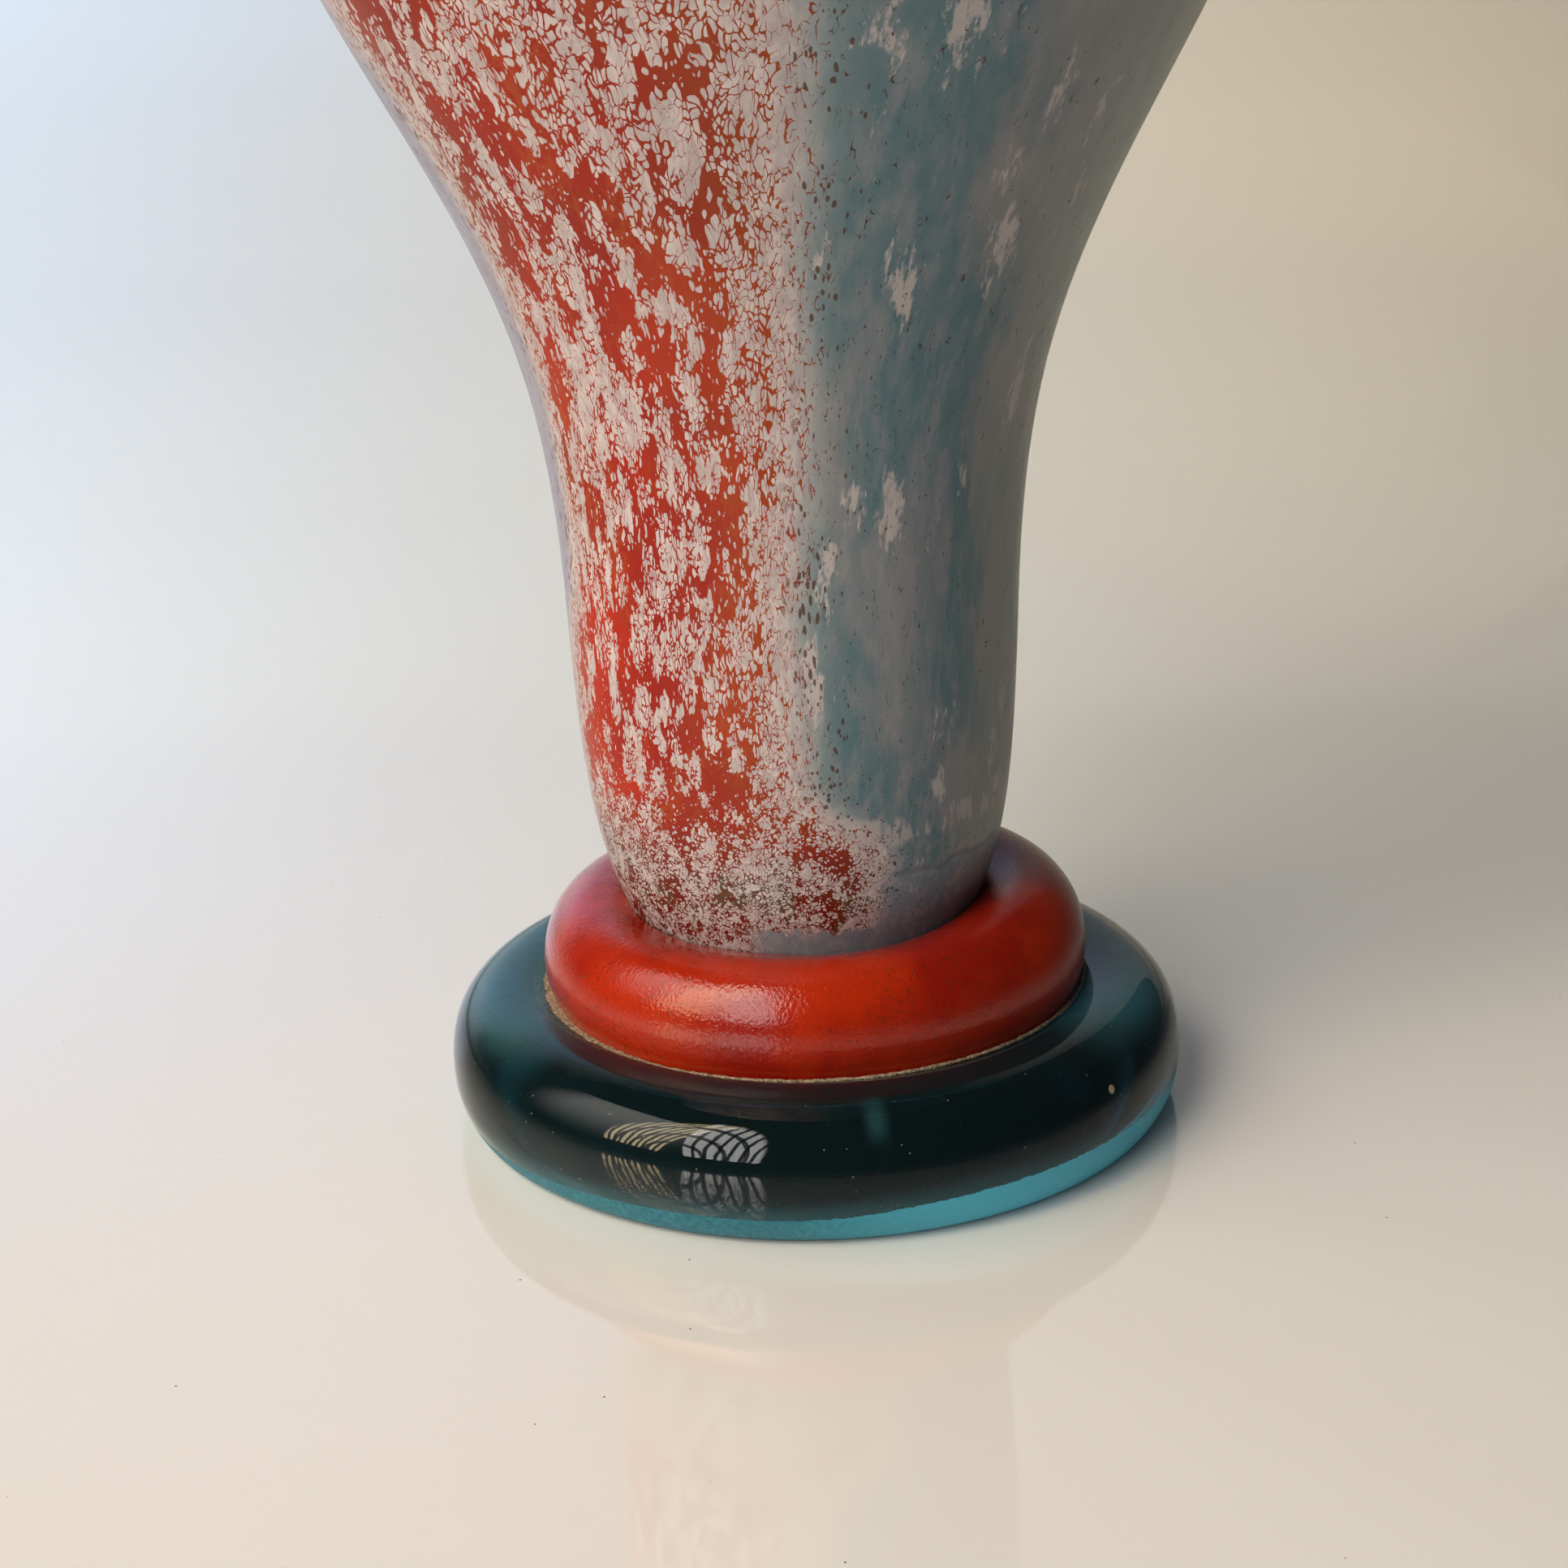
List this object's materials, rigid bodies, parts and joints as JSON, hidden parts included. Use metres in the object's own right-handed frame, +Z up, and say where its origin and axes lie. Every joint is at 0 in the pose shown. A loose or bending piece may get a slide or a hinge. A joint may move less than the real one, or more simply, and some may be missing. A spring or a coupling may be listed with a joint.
{
  "type": "footed art glass vase",
  "caption": "Hollow mottled glass vessel with a narrow stem and full belly, let into a round red glass collar on a thick clear teal glass foot.",
  "frame": {"origin": "centre of the foot's ground face, on the surface that the vase stands on", "axes": "+Z up along the vase's axis of revolution; -Y towards the viewer, with the red half at -X and the blue-grey half at +X"},
  "size_m": [0.142, 0.142, 0.2533],
  "materials": {
    "foot": "polished clear teal glass with a fine ground underside",
    "lower_bond": "rough sandy adhesive",
    "collar": "opaque glossy orange-red glass with a fine orange-peel surface",
    "upper_bond": "clear adhesive film",
    "vessel": "opaque mottled colour under a thin satin clear layer, red on one half and blue-grey on the other"
  },
  "bodies": {
    "root": {"foot": "foot", "lower_bond": "lower_bond", "collar": "collar", "upper_bond": "upper_bond", "vessel": "vessel"}
  },
  "joints": []
}
